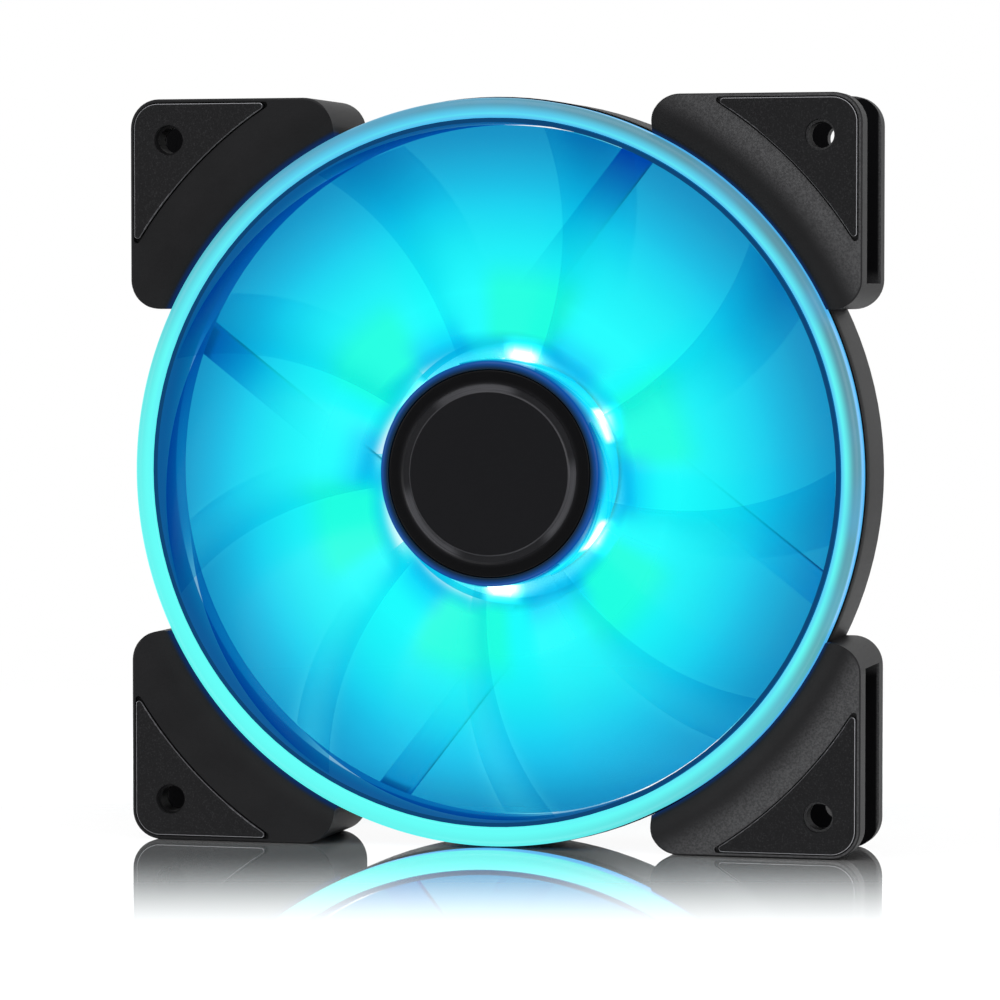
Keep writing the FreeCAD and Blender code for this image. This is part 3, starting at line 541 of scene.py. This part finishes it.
def impeller_polycarbonate(colours):
    """Milky polycarbonate, lit by the LEDs from behind: brightest round the hub with a greener
    patch in front of each lamp, deeper blue and clearer towards the tips.

    How much of what lies behind comes through depends on the cover attribute, the share of the
    blade's full thickness: its thin leading and trailing edges are the clearest."""
    material, tree = new_material("milky polycarbonate")
    point, x, y, z, radius = place(tree)
    glow = mixed(tree, fade(tree, radius, 41 * MM, 57 * MM), colours.blade_inner, colours.blade_middle)
    glow = mixed(tree, fade(tree, radius, 48 * MM, 67 * MM), glow, colours.blade_outer)
    before_lamps = fade(tree, lobes(tree, x, z, LAMPS, HOT_SPOT_ANGLE), 0.3, 0.75)
    hot = times(tree, before_lamps, fade(tree, radius, 23 * MM, 27 * MM),
                falls(tree, radius, 34 * MM, 42 * MM))
    glow = mixed(tree, hot, glow, colours.hot_spot)
    between = times(tree, falls(tree, lobes(tree, x, z, LAMPS, LAMP_ANGLE), 0.1, 0.6),
                    falls(tree, radius, 24 * MM, 32 * MM))
    glow = mixed(tree, times(tree, between, 0.8), glow, colours.blade_shade)
    narrower = calc(tree, "MULTIPLY_ADD", radius, -0.1 / MM, 2.2)
    near_lamp = calc(tree, "ADD", lobes(tree, x, z, LAMPS, LAMP_ANGLE), narrower)
    near_lamp = times(tree, fade(tree, near_lamp, 0.8, 0.98), fade(tree, y, -5 * MM, 0 * MM))
    side = mixed(tree, fade(tree, radius, CAP_R, CAP_R + 1.6 * MM),
                 colours.hub_rim_glow, colours.hub_front_glow)
    side = mixed(tree, fade(tree, y, HUB_FRONT + 0.5 * MM, HUB_FRONT + 9 * MM),
                 side, colours.hub_rear_glow)
    on_hub = falls(tree, radius, 21.0 * MM, 21.5 * MM)
    glow = mixed(tree, on_hub, glow, side)
    glow = mixed(tree, near_lamp, glow, (1.0, 1.0, 1.0))
    strength = calc(tree, "MULTIPLY_ADD", near_lamp, 1.2, 1.0)
    frost = noise(tree, point, 0.6, 2.0)
    body = add(tree, "ShaderNodeBsdfPrincipled", {
        "Base Color": (*linear("#04141c"), 1), "Roughness": 0.3, "IOR": 1.585, "Specular IOR Level": 0.06,
        "Emission Color": glow, "Emission Strength": strength, "Normal": bump(tree, frost, 0.01, 0.3)})
    cover = add(tree, "ShaderNodeAttribute", attribute_name="cover").outputs["Fac"]
    towards_tip = times(tree, fade(tree, radius, 33 * MM, 58 * MM), 0.52)
    towards_hub = times(tree, falls(tree, radius, 22.5 * MM, 27 * MM), 0.65)
    clarity = calc(tree, "MAXIMUM", calc(tree, "MAXIMUM", towards_tip, towards_hub), 0.004)
    through = times(tree, calc(tree, "POWER", clarity, times(tree, cover, 0.5)), less(tree, on_hub))
    depth = calc(tree, "MULTIPLY_ADD", cover, 0.4, 0.1)
    tint = [calc(tree, "POWER", channel, depth) for channel in colours.blade_tint]
    tint = add(tree, "ShaderNodeCombineColor", dict(enumerate(tint))).outputs[0]
    tint = mixed(tree, fade(tree, radius, 22 * MM, 25 * MM), (1.0, 1.0, 1.0), tint)
    clear = add(tree, "ShaderNodeBsdfTransparent", {"Color": tint})
    share = add(tree, "ShaderNodeMixShader", {0: through, 1: body.outputs[0], 2: clear.outputs[0]})
    finish_surface(tree, share.outputs[0])
    return material


def cap_abs(colours):
    """Moulded ABS, semi-gloss black, deeper at its edge. The ring groove in its face carries a grey
    painted highlight, with a pale inner line, fine streaks and three painted reflections of the lamps."""
    material, tree = new_material("moulded ABS")
    point, x, y, z, radius = place(tree)
    grain = noise(tree, point, 0.25, 3.0)
    streaks = add(tree, "ShaderNodeTexNoise", {"Vector": add(tree, "ShaderNodeCombineXYZ", {
        0: calc(tree, "DIVIDE", radius, 0.25 * MM), 1: calc(tree, "ARCTAN2", z, x)}).outputs[0],
        "Scale": 1.0, "Detail": 2.0}).outputs["Fac"]
    # Painted highlight of the lamps in the ring groove: a grey band, a pale inner line and three brighter
    # lobes.
    band = times(tree, fade(tree, radius, 15.15 * MM, 15.3 * MM),
                 falls(tree, radius, 16.6 * MM, 16.8 * MM))
    line = times(tree, fade(tree, radius, 15.1 * MM, 15.2 * MM),
                 falls(tree, radius, 15.3 * MM, 15.45 * MM))
    shine = fade(tree, lobes(tree, x, z, 3, 100), 0.4, 0.75)
    grey = times(tree, band, calc(tree, "MULTIPLY_ADD", times(tree, shine, streaks), 1.1, 0.1))
    grey = calc(tree, "MAXIMUM", grey, times(tree, line, 0.55))
    face = mixed(tree, fade(tree, radius, 16.7 * MM, 17.6 * MM), colours.cap, colours.cap_edge)
    base = mixed(tree, grey, face, colours.cap_groove_highlight)
    rough = calc(tree, "MULTIPLY_ADD", noise(tree, point, 6.0, 2.0), 0.1, 0.3)
    surface = add(tree, "ShaderNodeBsdfPrincipled", {
        "Base Color": base, "Roughness": rough, "IOR": 1.53,
        "Specular IOR Level": 0.05, "Normal": bump(tree, grain, 0.012, 0.35)})
    finish_surface(tree, surface.outputs[0])
    return material


def metal(name, hex_colour, roughness, line_mm, depth_mm):
    """A bare or plated metal with turning or rolling marks round the axis."""
    material, tree = new_material(name)
    point, x, y, z, radius = place(tree)
    lines = add(tree, "ShaderNodeCombineXYZ", {
        0: calc(tree, "DIVIDE", radius, line_mm * MM), 1: calc(tree, "DIVIDE", y, line_mm * MM)})
    rings = add(tree, "ShaderNodeTexNoise", {"Vector": lines.outputs[0], "Scale": 1.0,
                                             "Detail": 3.0}).outputs["Fac"]
    tarnish = fade(tree, noise(tree, point, 3.0, 3.0), 0.35, 0.75)
    pale = linear(hex_colour)
    base = mixed(tree, calc(tree, "MULTIPLY", tarnish, 0.4), pale, [0.6 * c for c in pale])
    rough = calc(tree, "MULTIPLY_ADD", rings, 0.15, roughness)
    surface = add(tree, "ShaderNodeBsdfPrincipled", {
        "Base Color": base, "Metallic": 1.0, "Roughness": rough,
        "Normal": bump(tree, rings, depth_mm, 0.5)})
    finish_surface(tree, surface.outputs[0])
    return material


def solder_mask(colours):
    """White solder mask over glass laminate. Its rim outside the hub is lit by the lamps that stand
    on it, most of all beside each of them."""
    material, tree = new_material("white solder mask")
    point, x, y, z, radius = place(tree)
    weave = noise(tree, point, 0.35, 2.0)
    lit = times(tree, fade(tree, radius, 20.6 * MM, 21.4 * MM), fade(tree, facing(tree), 0.2, 0.8))
    at_lamps = fade(tree, lobes(tree, x, z, LAMPS, LAMP_ANGLE), 0.7, 0.97)
    strength = times(tree, lit, calc(tree, "MULTIPLY_ADD", at_lamps, 1.8, 0.5))
    light = mixed(tree, at_lamps, colours.hub_rear_glow, colours.lamp_glare)
    base = mixed(tree, fade(tree, weave, 0.4, 0.6), linear("#b9bfc0"), linear("#c6cbcb"))
    surface = add(tree, "ShaderNodeBsdfPrincipled", {
        "Base Color": base, "Roughness": 0.35, "IOR": 1.5, "Emission Color": light,
        "Emission Strength": strength, "Normal": bump(tree, weave, 0.01, 0.3)})
    finish_surface(tree, surface.outputs[0])
    return material


def plain_plastic(name, hex_colour, roughness, grain_mm):
    """A small moulded plastic or epoxy piece: slightly uneven in colour, with a fine grain."""
    material, tree = new_material(name)
    point = place(tree)[0]
    grain = noise(tree, point, grain_mm, 3.0)
    main = linear(hex_colour)
    cloud = fade(tree, noise(tree, point, 4.0, 2.0), 0.3, 0.7)
    base = mixed(tree, cloud, main, [0.8 * c for c in main])
    surface = add(tree, "ShaderNodeBsdfPrincipled", {
        "Base Color": base, "Roughness": roughness, "IOR": 1.5, "Normal": bump(tree, grain, 0.02, 0.4)})
    finish_surface(tree, surface.outputs[0])
    return material


def lamp_phosphor():
    """A lit LED's face: an even pale cyan-white glow over its lens."""
    material, tree = new_material("LED lens")
    point, x, y, z, radius = place(tree)
    surface = add(tree, "ShaderNodeBsdfPrincipled", {
        "Base Color": (*linear("#e8fbff"), 1), "Roughness": 0.15, "IOR": 1.41,
        "Emission Color": (*linear("#d8ffff"), 1), "Emission Strength": 3.0,
        "Normal": bump(tree, noise(tree, point, 0.4, 2.0), 0.01, 0.2)})
    finish_surface(tree, surface.outputs[0])
    return material


# ---------------------------------------------------------------- operators
class FANLOOK_OT_halo_ring(bpy.types.Operator):
    """Replaces the halo ring with a finely rounded diffuser"""
    bl_idname = "fanlook.halo_ring"
    bl_label = "Halo ring"

    def execute(self, context):
        size, colours = context.scene.fan_sizes, context.scene.fan_colours
        ring = surface_object("halo_ring_diffuser", [turned(ring_outline(size), 360)])
        sharpen(ring, 50)
        ring.data.materials.append(diffuser_polycarbonate(colours))
        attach(ring, "frame")
        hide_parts("halo_ring")
        return {"FINISHED"}


class FANLOOK_OT_impeller(bpy.types.Operator):
    """Replaces the impeller with smooth round-edged blades on a thin-walled hub"""
    bl_idname = "fanlook.impeller"
    bl_label = "Impeller"

    def execute(self, context):
        size, colours = context.scene.fan_sizes, context.scene.fan_colours
        inner = size.hub_radius - size.hub_wall
        floor = CAP_REAR + size.hub_floor
        corners = [(inner, HUB_FRONT), (size.hub_radius, HUB_FRONT), (size.hub_radius, HUB_REAR),
                   (inner, HUB_REAR), (inner, floor), (0, floor), (0, CAP_REAR), (inner, CAP_REAR)]
        rounds = [0.2 * MM, size.hub_round, 0.4 * MM, 0.3 * MM, 0.5 * MM, 0, 0, 0.1 * MM]
        closer_to_tip = (1 - np.linspace(0, 1, 14)[1:]) ** 2
        along = np.concatenate([np.linspace(0, 0.95, 40), 1 - 0.05 * closer_to_tip])
        around = np.linspace(0, 2 * np.pi, 96, endpoint=False)
        points, faces, cover = blade(size, along, around)
        turns = np.arange(size.blades) * 2 * np.pi / size.blades
        grids = [(turn_points(points, angle), faces, cover) for angle in turns]
        grids.append(turned(rounded_outline(corners, rounds), 240))
        impeller = surface_object("lit_impeller", grids)
        sharpen(impeller, 60)
        impeller.data.materials.append(impeller_polycarbonate(colours))
        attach(impeller, "rotor")
        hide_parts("impeller")
        return {"FINISHED"}


class FANLOOK_OT_hub_cap(bpy.types.Operator):
    """Replaces the hub cap with one that has soft edges and a moulded ring groove"""
    bl_idname = "fanlook.hub_cap"
    bl_label = "Hub cap"

    def execute(self, context):
        size, colours = context.scene.fan_sizes, context.scene.fan_colours
        low = size.cap_groove_radius - size.cap_groove_width / 2
        high = size.cap_groove_radius + size.cap_groove_width / 2
        bottom = HUB_FRONT + size.cap_groove_depth
        wall = size.cap_groove_depth
        corners = [(0, HUB_FRONT), (low, HUB_FRONT), (low + wall, bottom), (high - wall, bottom),
                   (high, HUB_FRONT), (CAP_R, HUB_FRONT), (CAP_R, CAP_REAR), (0, CAP_REAR)]
        rounds = [0, 0.15 * MM, 0.15 * MM, 0.15 * MM, 0.15 * MM, 0.5 * MM, 0, 0]
        cap = surface_object("hub_cap_disc", [turned(rounded_outline(corners, rounds), 240)])
        sharpen(cap, 60)
        cap.data.materials.append(cap_abs(colours))
        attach(cap, "rotor")
        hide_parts("hub_cap")
        return {"FINISHED"}


class FANLOOK_OT_finishes(bpy.types.Operator):
    """Gives every carried-over CAD piece its finish"""
    bl_idname = "fanlook.finishes"
    bl_label = "Finishes"

    def execute(self, context):
        colours = context.scene.fan_colours
        nylon = plain_plastic("natural nylon", "#dcd8cc", 0.45, 0.3)
        ground = metal("ground steel", "#c9cacc", 0.18, 0.15, 0.004)
        epoxy = plain_plastic("moulded epoxy", "#1b1b1c", 0.5, 0.15)
        turned_brass = metal("turned brass", "#d8b56a", 0.22, 0.2, 0.006)
        finishes = {
            "frame": moulded_pbt(colours),
            "circuit_board": solder_mask(colours),
            "led_lamps": lamp_phosphor(),
            "rear_label": plain_plastic("satin label film", "#38383b", 0.42, 0.6),
            "rotor_yoke": metal("pressed steel", "#b9babd", 0.3, 0.6, 0.01),
            "ring_magnet": plain_plastic("bonded ferrite", "#3a393b", 0.6, 0.25),
            "shaft_boss": turned_brass,
            "bearing_tube": turned_brass,
            "shaft": ground,
            "retaining_clip": ground,
            "terminal_pins": metal("tinned pins", "#d0d2d4", 0.25, 0.2, 0.003),
            "bearing_sleeve": metal("sintered bronze", "#a9794a", 0.42, 0.25, 0.02),
            "stator_core": metal("lamination steel", "#9a9ca0", 0.34, 0.35, 0.03),
            "coil_windings": metal("enamelled copper", "#b0612f", 0.3, 0.28, 0.06),
            "oil_seal": nylon,
            "thrust_pad": nylon,
            "bearing_plug": nylon,
            "front_insulator": nylon,
            "rear_insulator": nylon,
            "driver_chip": epoxy,
            "hall_sensor": epoxy,
            "board_components": epoxy,
        }
        rubber = pad_rubber(colours)
        for name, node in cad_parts.items():
            if "_pad_" in name:
                finishes[name] = rubber
            if name in finishes:
                node.data.materials.clear()
                node.data.materials.append(finishes[name])
        return {"FINISHED"}


class FANLOOK_OT_stage(bpy.types.Operator):
    """Sets up the pale floor, the soft lamps, the world and the camera"""
    bl_idname = "fanlook.stage"
    bl_label = "Stage"

    def execute(self, context):
        floor_plane()
        studio_world(context.scene)
        soft_lamps()
        place_camera(context.scene)
        context.scene.view_settings.view_transform = "Standard"
        return {"FINISHED"}


def floor_plane():
    """A pale glossy floor under the fan. Its mirror image of the fan fades towards the camera."""
    side = 4.0
    lines = np.linspace(-side / 2, side / 2, 9)
    x, y = np.meshgrid(lines, lines, indexing="ij")
    points = np.stack([x, y, np.full_like(x, FLOOR_Z - 0.05 * MM)], axis=-1)
    floor = surface_object("floor", [(points, grid_faces(len(lines), len(lines), False, False), 1.0)])
    material, tree = new_material("gloss white floor")
    point, x, y, z, radius = place(tree)
    spread = add(tree, "ShaderNodeVectorMath", {0: point}, operation="LENGTH").outputs["Value"]
    turn = math.radians(CAMERA_TURN)
    ahead = calc(tree, "MULTIPLY_ADD", x, math.sin(turn), times(tree, y, -math.cos(turn)))
    matt = add(tree, "ShaderNodeBsdfDiffuse", {"Color": (0.9, 0.9, 0.9, 1)})
    gloss = add(tree, "ShaderNodeBsdfGlossy", {"Color": (1, 1, 1, 1), "Roughness": 0.02})
    near = times(tree, falls(tree, calc(tree, "ABSOLUTE", ahead), 15 * MM, 160 * MM), 0.95)
    shiny = add(tree, "ShaderNodeMixShader", {0: near, 1: matt.outputs[0], 2: gloss.outputs[0]})
    white = add(tree, "ShaderNodeEmission", {"Color": (1, 1, 1, 1), "Strength": 1.0})
    away = fade(tree, spread, 180 * MM, 420 * MM)
    seen = add(tree, "ShaderNodeLightPath").outputs["Is Camera Ray"]
    lift = add(tree, "ShaderNodeMixShader", {0: calc(tree, "MULTIPLY", away, seen),
                                             1: shiny.outputs[0], 2: white.outputs[0]})
    finish_surface(tree, lift.outputs[0])
    floor.data.materials.append(material)


def studio_world(scene):
    """A plain white surround: full white where it is seen or mirrored, dimmer as a light."""
    world = bpy.data.worlds.new("studio")
    world.use_nodes = True
    tree = world.node_tree
    tree.nodes.clear()
    path = add(tree, "ShaderNodeLightPath").outputs
    seen = calc(tree, "MAXIMUM", path["Is Camera Ray"],
                calc(tree, "MAXIMUM", path["Is Glossy Ray"], path["Is Transmission Ray"]))
    level = calc(tree, "MULTIPLY_ADD", seen, 0.55, 0.45)
    back = add(tree, "ShaderNodeBackground", {"Color": (1, 1, 1, 1), "Strength": level})
    add(tree, "ShaderNodeOutputWorld", {"Surface": back.outputs[0]})
    scene.world = world


def soft_lamps():
    """Three large soft lamps: one over the fan, one at each side."""
    for name, spot, size, power in (
        ("top lamp", (0.0, -0.35, 0.9), 0.8, 9.0),
        ("right lamp", (0.85, -0.35, 0.25), 0.6, 7.0),
        ("left lamp", (-0.8, -0.6, 0.3), 0.6, 5.0),
    ):
        light = bpy.data.lights.new(name, "AREA")
        light.energy = power
        light.size = size
        lamp = bpy.data.objects.new(name, light)
        lamp.location = spot
        lamp.rotation_euler = (Vector((0, 0, 0)) - lamp.location).to_track_quat("-Z", "Y").to_euler()
        bpy.context.scene.collection.objects.link(lamp)


def place_camera(scene):
    """A long lens, slightly to the right of the fan's axis and a little above it."""
    turn, rise = math.radians(CAMERA_TURN), math.radians(2.53)
    distance = 0.872
    aim = Vector((-0.001, 0, -0.0054))
    back = Vector((math.sin(turn) * math.cos(rise), -math.cos(turn) * math.cos(rise), math.sin(rise)))
    data = bpy.data.cameras.new("camera")
    data.sensor_width = 36.0
    data.lens = 166.8
    camera = bpy.data.objects.new("camera", data)
    camera.location = aim + back * distance
    camera.rotation_euler = back.to_track_quat("Z", "Y").to_euler()
    scene.collection.objects.link(camera)
    scene.camera = camera


class FANLOOK_PT_panel(bpy.types.Panel):
    """Lists the fan's pieces, sizes and colours"""
    bl_idname = "FANLOOK_PT_panel"
    bl_label = "Lit case fan"
    bl_space_type = "VIEW_3D"
    bl_region_type = "UI"
    bl_category = "Case Fan"

    def draw(self, context):
        for operator in OPERATORS:
            self.layout.operator(operator.bl_idname)
        for settings in (context.scene.fan_sizes, context.scene.fan_colours):
            box = self.layout.box()
            for name in settings.__annotations__:
                box.prop(settings, name)


OPERATORS = (
    FANLOOK_OT_halo_ring,
    FANLOOK_OT_impeller,
    FANLOOK_OT_hub_cap,
    FANLOOK_OT_finishes,
    FANLOOK_OT_stage,
)
CLASSES = (FanSizes, FanColours) + OPERATORS + (FANLOOK_PT_panel,)


def register():
    """Registers the classes and hangs the settings on the scene."""
    for cls in CLASSES:
        bpy.utils.register_class(cls)
    bpy.types.Scene.fan_sizes = PointerProperty(type=FanSizes)
    bpy.types.Scene.fan_colours = PointerProperty(type=FanColours)


def unregister():
    """Undoes what register did."""
    del bpy.types.Scene.fan_colours
    del bpy.types.Scene.fan_sizes
    for cls in reversed(CLASSES):
        bpy.utils.unregister_class(cls)


def main():
    register()
    bpy.ops.fanlook.halo_ring()
    bpy.ops.fanlook.impeller()
    bpy.ops.fanlook.hub_cap()
    bpy.ops.fanlook.finishes()
    bpy.ops.fanlook.stage()
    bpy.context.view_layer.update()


if __name__ == "__main__":
    main()
